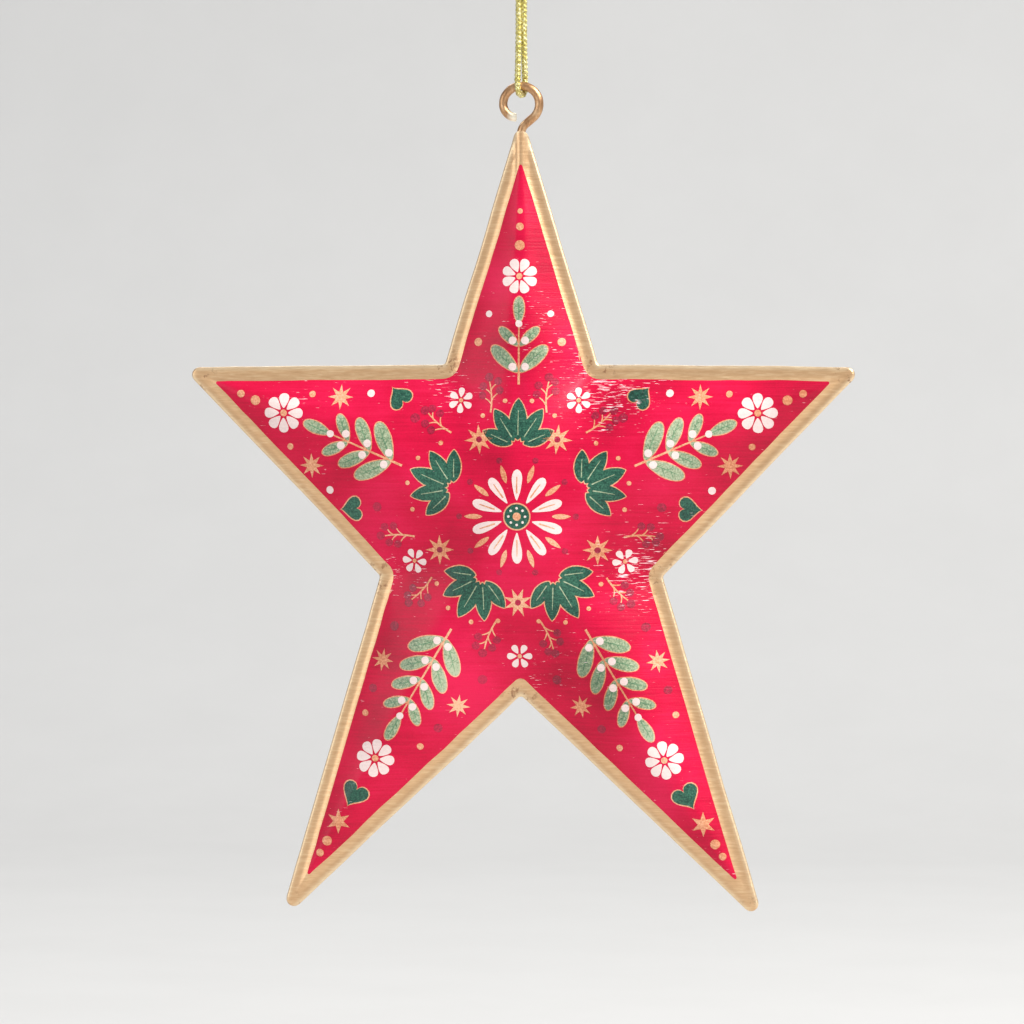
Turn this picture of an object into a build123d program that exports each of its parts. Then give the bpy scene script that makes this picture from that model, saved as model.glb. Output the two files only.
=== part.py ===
from build123d import *
import math
import os

# A puffed five-point star of pressed tin, hung from a bent wire eye on a doubled cord.
# Millimetres. +Z is up and the printed front faces -Y.
# The origin is where a hook bears in the cord's loop, on the line of the eye.

# Outline of the star: its sharp corners from its own axis and from the line of the two upper inner corners
top_point_rise = 45.9
shoulder_reach = 14.05
side_point_reach = 62.5
side_point_drop = 0.44
waist_reach = 25.9
waist_drop = 38.5
foot_point_reach = 44.8
foot_point_drop = 102.5
crotch_drop = 60.2
point_radius = 1.42
inner_corner_radius = 0.8

# Sheet metal: two pressed sheets, the front one folded over the back one all round
sheet_thickness = 0.3
seam_clearance = 0.02
hem_return = 1.5
hem_edge_ease = 0.28
dome_foot_inset = 1.9
dome_height = 8.0

# How the dome swells from its foot line to the crown: its fullness, and the rounding of ridges and valleys
flank_fullness = 0.9
level_shares = (0, 0.1, 0.22, 0.36, 0.5, 0.64)
crown_shares = (0.75, 0.5, 0.25, 0.08)
corner_cuts = 3
ridge_radius_at_foot = 0.6
ridge_radius_at_crown = 2.0
valley_radius_at_foot = 1.2
valley_radius_at_crown = 1.8

# Wire eye: an open ring on a swept neck, its shank held between the sheets
wire_diameter = 1.6
wire_sides = 16
eye_ring_diameter = 6.56
neck_bend_radius = 2.2
neck_length = 5.3
curl_radius = 2.4
curl_turn = 88
wire_clearance = 0.03
mouth_drop = 4.0
notch_clearance = 0.15

# Soldered joint on the shank, inside the top point
solder_width = 4.6
solder_height = 4.0
solder_end_slope = 1.1
arm_width_at_solder = 9.8
solder_rise_from_shank_end = 3.0
solder_clearance = 0.03

# Cord: two strands side by side, turned round the wire at the top of the ring
cord_diameter = 1.1
cord_sides = 12
strand_gap = 0.1
cord_to_wire_clearance = 0.15
hook_to_eye = 40.0
twist_height = -18.0
twist_gap = 0.3

# Loop for the hook and the overhand knot that closes it
knot_foot = 0.9
knot_height = 4.2
knot_width = 2.9
knot_turn_diameter = 2.7
knot_turn_tilt = 22
knot_turn_spacing = 1.5
long_tail = 5.2
short_tail = 4.2
tail_spread = 11
tail_end_diameter = 1.45
tail_flare_length = 1.2

overrun = 2.0

# Places worked out from the sizes above
hem_half = 1.5 * sheet_thickness + seam_clearance
slot_half = sheet_thickness / 2 + seam_clearance
wire_radius = wire_diameter / 2
cord_radius = cord_diameter / 2
ring_radius = eye_ring_diameter / 2
ring_top = -hook_to_eye - wire_radius
ring_centre = ring_top - ring_radius
mouth_height = ring_centre - neck_length
mouth_rise = top_point_rise - mouth_drop
shoulder_height = mouth_height - mouth_rise
solder_rise = top_point_rise - arm_width_at_solder / 2 * top_point_rise / shoulder_reach
shank_end = shoulder_height + solder_rise - solder_rise_from_shank_end
strand_offset = cord_radius + strand_gap / 2
bight_depth = wire_radius + cord_radius + cord_to_wire_clearance


def star_corners():
    # Sharp corners clockwise from the top point, points and inner corners by turns
    right_side = [
        (shoulder_reach, 0),
        (side_point_reach, -side_point_drop),
        (waist_reach, -waist_drop),
        (foot_point_reach, -foot_point_drop),
    ]
    left_side = [(-x, z) for x, z in reversed(right_side)]
    return [(0, top_point_rise)] + right_side + [(0, -crotch_drop)] + left_side


def edge_lines():
    # Each edge as a point on it and its unit normal towards the inside of the star
    corners = star_corners()
    lines = []
    for (x0, z0), (x1, z1) in zip(corners, corners[1:] + corners[:1]):
        length = math.hypot(x1 - x0, z1 - z0)
        lines.append(((x0, z0), ((z1 - z0) / length, -(x1 - x0) / length)))
    return lines


def inset_corners(inset):
    # The corners of the outline moved inwards: neighbouring edge lines crossed again
    lines = edge_lines()
    moved = []
    for (p, n), (q, m) in zip(lines[-1:] + lines[:-1], lines):
        a = p[0] * n[0] + p[1] * n[1] + inset
        b = q[0] * m[0] + q[1] * m[1] + inset
        determinant = n[0] * m[1] - n[1] * m[0]
        moved.append(((a * m[1] - b * n[1]) / determinant, (n[0] * b - m[0] * a) / determinant))
    return moved


def rounded_outline(corners, depth, point_round, inner_round):
    # A closed line through the corners at one depth, points and inner corners rounded by turns
    points = [Vector(x, depth, z) for x, z in corners]
    radii = [point_round, inner_round] * (len(points) // 2)
    return Wire(FilletPolyline(*points, radius=radii, close=True).edges())


def cut_outline(corners, depth, point_round, inner_round):
    # The same line with the round of each corner stepped off in a few straight cuts
    points = [Vector(x, depth, z) for x, z in corners]
    cuts = []
    for place, corner in enumerate(points):
        radius = inner_round if place % 2 else point_round
        back = (points[place - 1] - corner).normalized()
        on = (points[(place + 1) % len(points)] - corner).normalized()
        half = math.radians(back.get_angle(on)) / 2
        turn = math.pi - 2 * half
        centre = corner + (back + on).normalized() * (radius / math.sin(half))
        first = corner + back * (radius / math.tan(half)) - centre
        last = corner + on * (radius / math.tan(half)) - centre
        for step in range(corner_cuts + 1):
            swung = turn * step / corner_cuts
            spoke = first * math.sin(turn - swung) + last * math.sin(swung)
            cuts.append(centre + spoke * (1 / math.sin(turn)))
    return Wire(Polyline(*cuts, close=True).edges())


def star_prism(inset, front, back, draw=cut_outline):
    # A slab of the star's outline between two depths, its corners rounded in parallel
    point_round = max(point_radius - inset, sheet_thickness)
    outline = draw(inset_corners(inset), front, point_round, inner_corner_radius + inset)
    return extrude(Face(outline), amount=back - front, dir=(0, 1, 0))


# The crown stands over the mean of the inner corners
crown_drop = (2 * waist_drop + crotch_drop) / 5
crown_inset = min(
    -p[0] * n[0] + (-crown_drop - p[1]) * n[1] - dome_foot_inset for p, n in edge_lines()
)
fullness_scale = 1 - math.exp(-flank_fullness)
foot_slope = dome_height * flank_fullness / fullness_scale / crown_inset


def rise_at(share):
    # Height of the dome's outside at a share of the way from its foot line to its crown
    return dome_height * (1 - math.exp(-flank_fullness * share)) / fullness_scale


def between(foot_value, crown_value, share):
    return foot_value + (crown_value - foot_value) * share


def dome_star(base, floor, wall):
    # A dome raised towards -Y from its base plane, or its inside, one wall below the outside all over
    sections = []
    for share in level_shares:
        slope = foot_slope * math.exp(-flank_fullness * share)
        tilt = math.atan(slope)
        inset = dome_foot_inset + share * crown_inset + wall * math.sin(tilt)
        depth = -base - rise_at(share) + wall * math.cos(tilt)
        ridge = between(ridge_radius_at_foot, ridge_radius_at_crown, share)
        valley = between(valley_radius_at_foot, valley_radius_at_crown, share)
        if not sections:
            ground = inset_corners(inset - (floor - depth) / slope)
            sections.append(cut_outline(ground, floor, ridge, valley))
        corners = inset_corners(inset)
        sections.append(cut_outline(corners, depth, ridge, valley))
    for crown_share in crown_shares:
        drawn_in = [(x * crown_share, between(-crown_drop, z, crown_share)) for x, z in corners]
        depth = -base - rise_at(1 - (1 - level_shares[-1]) * crown_share) + wall
        sections.append(cut_outline(drawn_in, depth, ridge * crown_share, valley * crown_share))
    return Solid.make_loft(sections, ruled=True)


def front_hollow():
    return dome_star(hem_half, 0, sheet_thickness)


def back_hollow():
    half = sheet_thickness / 2
    return mirror(dome_star(half, half + seam_clearance, sheet_thickness), Plane.XZ)


def wire_tunnel(radius, low, high):
    # A round bar on the shank's line, in the star's own frame
    return Pos(0, 0, low) * Cylinder(radius, high - low, align=(Align.CENTER, Align.CENTER, Align.MIN))


def above_mouth():
    size = 2 * top_point_rise
    return Pos(0, 0, mouth_rise) * Box(size, size, size, align=(Align.CENTER, Align.CENTER, Align.MIN))


def half_space(front, back, low, half_width):
    # A tall slot cutter on the axis, from one depth to another and from one height up
    height = top_point_rise - low + overrun
    cutter = Box(2 * half_width, back - front, height, align=(Align.CENTER, Align.MIN, Align.MIN))
    return Pos(0, front, low) * cutter


bore_radius = wire_radius + wire_clearance
sleeve_radius = bore_radius + sheet_thickness
notch_half = sleeve_radius + notch_clearance
point_slope = shoulder_reach / top_point_rise
point_cosine = 1 / math.hypot(1, point_slope)
point_sine = point_slope * point_cosine
notch_foot = top_point_rise - (notch_half + hem_return / point_cosine) / point_slope
# The sleeve starts where the dome is already as high as the sleeve
sleeve_start_inset = dome_foot_inset + sleeve_radius / foot_slope + ridge_radius_at_foot
sleeve_foot = top_point_rise - sleeve_start_inset / point_sine
tunnel_foot = shank_end - shoulder_height - overrun


def front_sheet():
    # Domed front, flat border, rounded edge and the lip folded behind, with a half sleeve for the wire
    plate = star_prism(0, -hem_half, hem_half, rounded_outline)
    rim_edges = plate.edges().filter_by(lambda edge: abs(edge.center().Y) > hem_half - seam_clearance)
    plate = chamfer(rim_edges, hem_edge_ease)
    sleeve = wire_tunnel(sleeve_radius, sleeve_foot, mouth_rise)
    sheet = plate + dome_star(hem_half, 0, 0) + (sleeve & half_space(-overrun, 0, sleeve_foot, overrun))
    slot = star_prism(sheet_thickness + seam_clearance, -slot_half, slot_half)
    opening = star_prism(hem_return, 0, hem_half + overrun)
    notch = half_space(-slot_half, hem_half + overrun, notch_foot, notch_half)
    tunnel = wire_tunnel(bore_radius, tunnel_foot, mouth_rise + overrun)
    return sheet - slot - opening - front_hollow() - notch - tunnel - above_mouth()


def back_sheet():
    # Flat border held inside the front sheet's fold, dome behind, and the other half of the sleeve
    half = sheet_thickness / 2
    border = star_prism(sheet_thickness + 2 * seam_clearance, -half, half)
    sleeve = wire_tunnel(sleeve_radius, sleeve_foot, mouth_rise)
    dome = mirror(dome_star(half, 0, 0), Plane.XZ)
    tunnel = wire_tunnel(bore_radius, tunnel_foot, mouth_rise + overrun)
    sheet = border + dome + (sleeve & half_space(-half, overrun, sleeve_foot, overrun))
    return sheet - back_hollow() - tunnel - above_mouth()


def eye_path():
    # Shank, neck bend, slanting run, ring and the curl at its free end, all in the plane Y = 0
    neck_centre = Vector(neck_bend_radius, 0, mouth_height)
    centre = Vector(0, 0, ring_centre)
    span = centre - neck_centre
    bearing = math.atan2(span.Z, span.X)
    heading = bearing - math.asin((ring_radius + neck_bend_radius) / span.length)
    left = Vector(-math.sin(heading), 0, math.cos(heading))
    foot = Vector(0, 0, shank_end)
    mouth = Vector(0, 0, mouth_height)
    neck_end = neck_centre + left * neck_bend_radius
    ring_start = centre - left * ring_radius
    ring_end = centre - Vector(ring_radius, 0, 0)
    curl_centre = ring_end + Vector(curl_radius, 0, 0)
    turned = math.radians(180 + curl_turn)
    curl_end = curl_centre + Vector(math.cos(turned), 0, math.sin(turned)) * curl_radius
    runs = [
        Line(foot, mouth),
        TangentArc(mouth, neck_end, tangent=(0, 0, 1)),
        Line(neck_end, ring_start),
        TangentArc(ring_start, ring_end, tangent=ring_start - neck_end),
        TangentArc(ring_end, curl_end, tangent=(0, 0, -1)),
    ]
    return Wire(runs)


def wire_eye():
    section = Plane(origin=(0, 0, shank_end), z_dir=(0, 0, 1)) * RegularPolygon(wire_radius, wire_sides)
    return sweep(section, path=eye_path())


def solder_joint():
    # A drop round the shank that fills the gap between wire and sheets
    drop = Cylinder(solder_width / 2, solder_height)
    drop = Pos(0, 0, solder_rise) * chamfer(drop.edges().filter_by(GeomType.CIRCLE), solder_end_slope)
    front_room = Pos(0, solder_clearance, 0) * front_hollow()
    back_room = Pos(0, -solder_clearance, 0) * back_hollow()
    wire = wire_tunnel(wire_radius + solder_clearance, tunnel_foot, mouth_rise)
    return (drop & front_room) + (drop & back_room) - wire


def cord_tube(route):
    # A tube on straight runs joined by arcs as large as the runs allow
    radii = []
    for before, corner, after in zip(route, route[1:], route[2:]):
        turn = (corner - before).get_angle(after - corner)
        shorter = min((corner - before).length, (after - corner).length)
        radii.append(0.45 * shorter / math.tan(math.radians(turn / 2)))
    path = Wire(FilletPolyline(*route, radius=radii).edges())
    section = Plane(origin=route[0], z_dir=route[1] - route[0]) * RegularPolygon(cord_radius, cord_sides)
    tube = sweep(section, path=path)
    expected = section.area * path.length
    print("cord radii", [round(radius, 2) for radius in radii], "length", round(path.length, 2))
    print("tube volume over section times length", round(tube.volume / expected, 4))
    return tube


def lower_cord():
    # Down in front of the wire, half a turn under it and up behind, on half an octagon
    reach = math.hypot(strand_offset, bight_depth)
    corner_reach = reach / math.cos(math.radians(22.5))
    route = [Vector(-strand_offset, 0, twist_height - twist_gap / 2)]
    for angle in (202.5, 247.5, 292.5, 337.5):
        along = corner_reach * math.cos(math.radians(angle)) / reach
        drop = corner_reach * math.sin(math.radians(angle))
        route.append(Vector(along * strand_offset, along * bight_depth, ring_top + drop))
    route.append(Vector(strand_offset, 0, twist_height - twist_gap / 2))
    return cord_tube(route)


def upper_cord():
    # The two strands above the twist part round the hook and close into the knot
    strands = []
    for side in (-1, 1):
        route = [
            Vector(side * strand_offset, 0, twist_height + twist_gap / 2),
            Vector(side * strand_offset, 0, -8.2),
            Vector(side * 2.0, 0, -3.5),
            Vector(side * 1.9, 0, -0.9),
            Vector(side * 0.5, 0, 1.2),
        ]
        strands.append(cord_tube(route))
    return strands


def knot():
    # The overhand knot drawn tight: a core, two turns that cross round it and two cut tails
    middle = knot_foot + knot_height / 2
    core = Cylinder(knot_width / 2, knot_height)
    body = Pos(0, 0, middle) * chamfer(core.edges().filter_by(GeomType.CIRCLE), cord_radius)
    turn_section = Plane.XZ * Pos(knot_turn_diameter / 2, 0) * RegularPolygon(cord_radius, cord_sides)
    turn = revolve(turn_section, Axis.Z)
    for side in (-1, 1):
        lean = Rot(side * knot_turn_tilt, side * knot_turn_tilt / 2, 0)
        body += Pos(0, 0, middle + side * knot_turn_spacing / 2) * lean * turn
    for side, length in ((-1, long_tail), (1, short_tail)):
        tail = extrude(RegularPolygon(cord_radius, cord_sides), amount=length)
        flare = Pos(0, 0, length) * RegularPolygon(cord_radius, cord_sides)
        end = Pos(0, 0, length + tail_flare_length) * RegularPolygon(tail_end_diameter / 2, cord_sides)
        tail += loft([flare.face(), end.face()])
        place = Pos(side * strand_offset, 0, middle + knot_height / 2 - cord_diameter)
        body += place * Rot(0, side * tail_spread, 0) * tail
    return body


def main():
    os.makedirs("parts", exist_ok=True)
    star_place = Pos(0, 0, shoulder_height)
    nodes = {
        "front_shell": [star_place * front_sheet()],
        "back_shell": [star_place * back_sheet()],
        "hanging_eye": [wire_eye()],
        "eye_solder": [star_place * solder_joint()],
        "hanging_cord": [lower_cord()],
        "cord_top_loop": upper_cord(),
        "cord_knot": [knot()],
    }
    for name, solids in nodes.items():
        shape = solids[0] if len(solids) == 1 else Compound(children=solids)
        export_step(shape, f"parts/{name}.step")
        print(name, "volume", round(shape.volume, 2))


main()
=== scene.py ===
import bpy
import bmesh
import random
from bmesh.types import BMEdge, BMVert
from collections import defaultdict
from math import asin, atan, atan2, copysign, cos, exp, hypot, log, pi, radians, sin, tan
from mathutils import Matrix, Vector, noise


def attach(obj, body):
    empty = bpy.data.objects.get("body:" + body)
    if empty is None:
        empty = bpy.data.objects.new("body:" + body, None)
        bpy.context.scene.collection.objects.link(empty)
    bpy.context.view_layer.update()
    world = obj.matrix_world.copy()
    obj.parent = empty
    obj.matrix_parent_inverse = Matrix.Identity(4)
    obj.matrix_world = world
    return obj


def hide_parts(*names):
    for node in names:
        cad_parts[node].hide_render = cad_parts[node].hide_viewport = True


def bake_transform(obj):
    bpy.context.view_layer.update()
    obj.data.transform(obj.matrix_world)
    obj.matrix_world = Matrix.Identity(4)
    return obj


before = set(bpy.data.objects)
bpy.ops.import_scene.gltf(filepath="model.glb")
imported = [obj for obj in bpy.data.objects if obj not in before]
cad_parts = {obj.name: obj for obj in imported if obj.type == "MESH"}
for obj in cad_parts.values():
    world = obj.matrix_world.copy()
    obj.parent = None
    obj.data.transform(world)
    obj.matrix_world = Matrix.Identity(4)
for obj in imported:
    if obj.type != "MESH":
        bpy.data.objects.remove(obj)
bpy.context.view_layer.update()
mm = 0.001
scene = bpy.context.scene
scene.view_settings.view_transform = "Standard"


# shared helpers

def clamped(value):
    return min(max(value, 0), 1)


def noiseAt(x, y, z):
    return noise.noise((x, y, z))


def linked(name, data):
    piece = bpy.data.objects.new(name, data)
    scene.collection.objects.link(piece)
    return piece


def aimed(thing, place, target):
    thing.location = place
    thing.rotation_euler = (Vector(target) - Vector(place)).to_track_quat("-Z", "Y").to_euler()


def smoothBelow(angle, piece):
    piece.data.shade_smooth()
    piece.data.set_sharp_from_angle(angle=radians(angle))


def keepMesh(name, bm, *materials):
    # the drawn shape as a piece, with its faces turned outwards
    bmesh.ops.recalc_face_normals(bm, faces=bm.faces)
    mesh = bpy.data.meshes.new(name)
    bm.to_mesh(mesh)
    bm.free()
    for material in materials:
        mesh.materials.append(material)
    mesh.shade_smooth()
    return linked(name, mesh)


def shownMesh(piece):
    # a copy of the mesh that a piece or a curve shows
    bpy.context.view_layer.update()
    return bpy.data.meshes.new_from_object(piece.evaluated_get(bpy.context.evaluated_depsgraph_get()))


def cutWith(piece, cutter, operation, joinSelf=False):
    # the cutter goes once it has cut
    step = piece.modifiers.new("cut", "BOOLEAN")
    step.operation = operation
    step.solver = "EXACT"
    step.use_self = joinSelf
    step.object = cutter
    mesh, old = shownMesh(piece), piece.data
    piece.modifiers.clear()
    piece.data = mesh
    for spent in (old, cutter.data):
        bpy.data.meshes.remove(spent)


def closeGaps(piece):
    # fills the thin gaps that a cut leaves
    bm = bmesh.new()
    bm.from_mesh(piece.data)
    bmesh.ops.holes_fill(bm, edges=[edge for edge in bm.edges if edge.is_boundary])
    bmesh.ops.recalc_face_normals(bm, faces=bm.faces)
    bm.to_mesh(piece.data)
    bm.free()


def only(kind, items):
    return [item for item in items if isinstance(item, kind)]


def pulled(bm, edges, shift=None):
    # edges drawn out into new faces: the new edges and the points on them
    made = bmesh.ops.extrude_edge_only(bm, edges=edges)["geom"]
    fresh = set(only(BMVert, made))
    if shift:
        bmesh.ops.translate(bm, vec=shift, verts=list(fresh))
    return [edge for edge in only(BMEdge, made) if fresh.issuperset(edge.verts)], fresh


def nextRing(bm, ring, edges):
    # a ring drawn out once: its new points, in the same order, and its new edges
    edges, fresh = pulled(bm, edges)
    return [next(edge.other_vert(vert) for edge in vert.link_edges if edge.other_vert(vert) in fresh)
            for vert in ring], edges


def spun(bm, edges, centre, axis, angle, steps):
    made = bmesh.ops.spin(bm, geom=edges, cent=centre, axis=axis, angle=angle, steps=steps)
    return only(BMEdge, made["geom_last"])


def placed(bm, size, shift):
    bmesh.ops.scale(bm, vec=size, verts=bm.verts)
    bmesh.ops.translate(bm, vec=shift, verts=bm.verts)


def ringEdges(ring):
    return list({edge for vert in ring for edge in vert.link_edges})


def markPoints(piece, name, valueAt):
    # a number at each point of a piece, for its material to read
    marks = piece.data.attributes.new(name, "FLOAT", "POINT").data
    for vert in piece.data.vertices:
        marks[vert.index].value = valueAt(vert.co / mm)


# node helpers

def setInputs(tree, node, inputs):
    for key, value in inputs.items():
        if isinstance(value, bpy.types.NodeSocket):
            tree.links.new(value, node.inputs[key])
        else:
            node.inputs[key].default_value = value


def addNode(tree, kind, inputs, **settings):
    node = tree.nodes.new("ShaderNode" + kind)
    for key, value in settings.items():
        setattr(node, key, value)
    setInputs(tree, node, inputs)
    return node


def scaled(tree, value, factor, added=0.0, clamp=False):
    # a value times a factor, plus what is added
    return addNode(tree, "Math", {0: value, 1: factor, 2: added},
                   operation="MULTIPLY_ADD", use_clamp=clamp).outputs[0]


def sumOf(tree, first, share, second, otherShare):
    return scaled(tree, first, share, scaled(tree, second, otherShare))


def rangeOf(tree, value, low, high, toLow, toHigh, kind="LINEAR"):
    return addNode(tree, "MapRange", {"Value": value, 1: low, 2: high, 3: toLow, 4: toHigh},
                   interpolation_type=kind).outputs[0]


def noiseOf(tree, scale, detail, roughness, stretch=(1, 1, 1), turn=(0, 0, 0)):
    # noise over the piece's own millimetres
    place = addNode(tree, "TexCoord", {}).outputs["Object"]
    mapping = addNode(tree, "Mapping", {
        "Vector": place, "Scale": [each / mm for each in stretch], "Rotation": turn})
    return addNode(tree, "TexNoise", {
        "Vector": mapping.outputs[0], "Scale": scale, "Detail": detail, "Roughness": roughness}).outputs["Fac"]


def marksOf(tree, name):
    return addNode(tree, "Attribute", {}, attribute_name=name).outputs["Fac"]


def hexColour(code):
    # sRGB hex to linear
    channels = [int(code[place:place + 2], 16) / 255 for place in (0, 2, 4)]
    return [c / 12.92 if c <= 0.04045 else ((c + 0.055) / 1.055) ** 2.4 for c in channels] + [1]


def rampOf(tree, factor, *stops):
    # a ramp through hex colours or plain linear ones
    ramp = addNode(tree, "ValToRGB", {"Fac": factor})
    elements = ramp.color_ramp.elements
    while len(elements) < len(stops):
        elements.new(1.0)
    for element, (position, colour) in zip(elements, stops):
        element.position = position
        element.color = hexColour(colour) if isinstance(colour, str) else colour
    return ramp.outputs["Color"]


def mixOf(tree, share, colour, code):
    return addNode(tree, "Mix", {0: share, 6: colour, 7: hexColour(code)}, data_type="RGBA").outputs[2]


def bumpOf(tree, height, strength, distance):
    return addNode(tree, "Bump", {"Height": height, "Strength": strength, "Distance": distance * mm}).outputs[0]


def makeMaterial(name, look, *codes, **amounts):
    # a look gives the shader's inputs, linked or plain
    material = bpy.data.materials.new(name)
    material.use_nodes = True
    tree = material.node_tree
    setInputs(tree, tree.nodes["Principled BSDF"], look(tree, *codes, **amounts))
    return material


# camera, at the photo's height and distance

view = {
    "distance": 0.90, "azimuth": 6.0, "elevation": 1.5, "target": (-1.7, 0.0, -118.1), "viewWidth": 186.2,
    "sensor": 36,
}


def makeCamera():
    azimuth, elevation = radians(view["azimuth"]), radians(view["elevation"])
    outwards = Vector((sin(azimuth) * cos(elevation), -cos(azimuth) * cos(elevation), sin(elevation)))
    target = Vector(view["target"]) * mm
    data = bpy.data.cameras.new("camera")
    data.sensor_width = view["sensor"]
    data.lens = view["sensor"] * view["distance"] / (view["viewWidth"] * mm)
    data.clip_start, data.clip_end = 0.02, 30
    camera = linked("camera", data)
    aimed(camera, target + outwards * view["distance"], target)
    scene.camera = camera


makeCamera()
print("camera placed")


# the star's plan, in millimetres from its own axis and shoulder line

star = {
    "topRise": 45.9,
    "shoulder": (14.05, 0), "side": (62.5, -0.44), "waist": (25.9, -38.5), "foot": (44.8, -102.5),
    "crotch": 60.2,
    "pointRound": 1.42, "leastRound": 0.3, "innerRound": 0.8,
    "shoulderHeight": -91.28,
    "hemHalf": 0.47,
    "domeFoot": 1.9, "domeHeight": 7.87, "fullness": 0.9, "topShare": 0.64,
    "ridge": (0.6, 2.0), "valley": (1.2, 1.8),
    "arcSteps": 6, "edgeSteps": 20,
}


def starCorners():
    right = [star[name] for name in ("shoulder", "side", "waist", "foot")]
    left = [(-x, z) for x, z in reversed(right)]
    return [(0, star["topRise"])] + right + [(0, -star["crotch"])] + left


def cornerPairs():
    corners = starCorners()
    return zip(corners, corners[1:] + corners[:1])


def edgeLines():
    # each edge as a point on it and its direction outwards
    lines = []
    for (x0, z0), (x1, z1) in cornerPairs():
        length = hypot(x1 - x0, z1 - z0)
        lines.append(((x0, z0), ((z1 - z0) / length, -(x1 - x0) / length)))
    return lines


def insetCorners(inset):
    lines = edgeLines()
    corners = []
    for (p, n), (q, m) in zip(lines[-1:] + lines[:-1], lines):
        a = p[0] * n[0] + p[1] * n[1] + inset
        b = q[0] * m[0] + q[1] * m[1] + inset
        d = n[0] * m[1] - n[1] * m[0]
        corners.append(((a * m[1] - b * n[1]) / d, (n[0] * b - m[0] * a) / d))
    return corners


crownDrop = (star["crotch"] - 2 * star["waist"][1]) / 5
crownInset = min(-p[0] * n[0] + (-crownDrop - p[1]) * n[1] for p, n in edgeLines()) - star["domeFoot"]
fullnessScale = 1 - exp(-star["fullness"])


def riseAt(share):
    return star["domeHeight"] * (1 - exp(-star["fullness"] * share)) / fullnessScale


def slopeAt(share):
    top = star["domeHeight"] * star["fullness"] / fullnessScale / crownInset
    return top * exp(-star["fullness"] * share)


def roundedLoop(corners, pointRound, innerRound, crotchRound=None):
    # each corner's arc, then the edge after it, with as many points on every outline
    points = [Vector(corner) for corner in corners]
    arcs = []
    for place, corner in enumerate(points):
        radius = innerRound if place % 2 else pointRound
        if crotchRound and place == 5:
            radius = crotchRound
        back = (points[place - 1] - corner).normalized()
        on = (points[(place + 1) % len(points)] - corner).normalized()
        half = back.angle(on) / 2
        turn = pi - 2 * half
        centre = corner + (back + on).normalized() * radius / sin(half)
        first, last = (corner + way * radius / tan(half) - centre for way in (back, on))
        arc = []
        for step in range(star["arcSteps"] + 1):
            swung = turn * step / star["arcSteps"]
            arc.append(centre + (first * sin(turn - swung) + last * sin(swung)) / sin(turn))
        arcs.append(arc)
    loop = []
    steps = star["edgeSteps"]
    for place, arc in enumerate(arcs):
        loop += arc
        following = arcs[(place + 1) % len(arcs)][0]
        loop += [arc[-1].lerp(following, (1 - cos(pi * step / steps)) / 2) for step in range(1, steps)]
    return loop


def plateLoop(inset):
    # outlines of the rim: corners rounded in parallel
    pointRound = max(star["pointRound"] - inset, star["leastRound"])
    return roundedLoop(insetCorners(inset), pointRound, star["innerRound"] + inset)


def domeRounds(share):
    return [low + (high - low) * share for low, high in (star["ridge"], star["valley"])]


def domeLoop(share, wall=0.0):
    # an outline of the dome at a share of the way to its crown, with its height
    lower = min(share, star["topShare"])
    tilt = atan(slopeAt(lower))
    corners = insetCorners(star["domeFoot"] + lower * crownInset + wall * sin(tilt))
    if share <= star["topShare"]:
        return roundedLoop(corners, *domeRounds(share)), riseAt(share) - wall * cos(tilt)
    shrink = (1 - share) / (1 - star["topShare"])
    drawn = [(x * shrink, -crownDrop + (z + crownDrop) * shrink) for x, z in corners]
    return roundedLoop(drawn, *(each * shrink for each in domeRounds(lower))), riseAt(share) - wall


# cord: laid first, knot to eye and back

cord = {
    "diameter": 1.1,
    "yarns": 8, "yarnWidth": 0.52, "yarnThickness": 0.24, "yarnSides": 6,
    "braidPitch": 3.4, "overUnder": 0.06, "tailFlare": 0.55,
    "pointStep": 0.17, "strandOffset": 0.6, "bightDepth": 1.5, "ringTop": -40.8,
    "twistTop": -12.0, "twistBottom": -34.0,
}

# down the right strand; the last point is about six diameters above the ring
strandRoute = [
    (0.50, 0, 1.20), (1.90, 0, -0.90), (2.00, 0, -3.50), (0.60, 0, -8.20), (0.51, 0, -17.85), (0.51, 0, -18.15),
    (0.45, 0.26, -33.8),
]


def bightCorners():
    # half an octagon round the top of the wire ring, front to back
    offset, depth = cord["strandOffset"], cord["bightDepth"]
    widen = 1 / cos(radians(22.5))
    corners = []
    for angle in map(radians, (202.5, 247.5, 292.5, 337.5)):
        along, drop = widen * cos(angle), widen * sin(angle) * hypot(offset, depth)
        corners.append((along * offset, along * depth, cord["ringTop"] + drop))
    return corners


def smoothRoute(points):
    # points in metres read back from a NURBS line through a route in millimetres
    curve = bpy.data.curves.new("route", "CURVE")
    curve.dimensions = "3D"
    curve.resolution_u = 24
    spline = curve.splines.new("NURBS")
    spline.points.add(len(points) - 1)
    for corner, point in zip(spline.points, points):
        corner.co = (*(each * mm for each in point), 1)
    spline.order_u = 3
    spline.use_endpoint_u = True
    mesh = shownMesh(linked("route", curve))
    line = [vert.co.copy() for vert in mesh.vertices]
    bpy.data.curves.remove(curve)
    bpy.data.meshes.remove(mesh)
    return line


def evenLine(line, step):
    # the line again at equal spacing, with its length
    lengths = [0.0]
    for before, after in zip(line, line[1:]):
        lengths.append(lengths[-1] + (after - before).length)
    count = max(int(lengths[-1] / step), 4)
    even = []
    place = 0
    for number in range(count + 1):
        wanted = lengths[-1] * number / count
        while place < len(line) - 2 and lengths[place + 1] < wanted:
            place += 1
        span = max(lengths[place + 1] - lengths[place], 1e-12)
        even.append(line[place].lerp(line[place + 1], (wanted - lengths[place]) / span))
    return even, lengths[-1]


def headingsOf(line):
    last = len(line) - 1
    return [(line[min(place + 1, last)] - line[max(place - 1, 0)]).normalized() for place in range(last + 1)]


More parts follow.
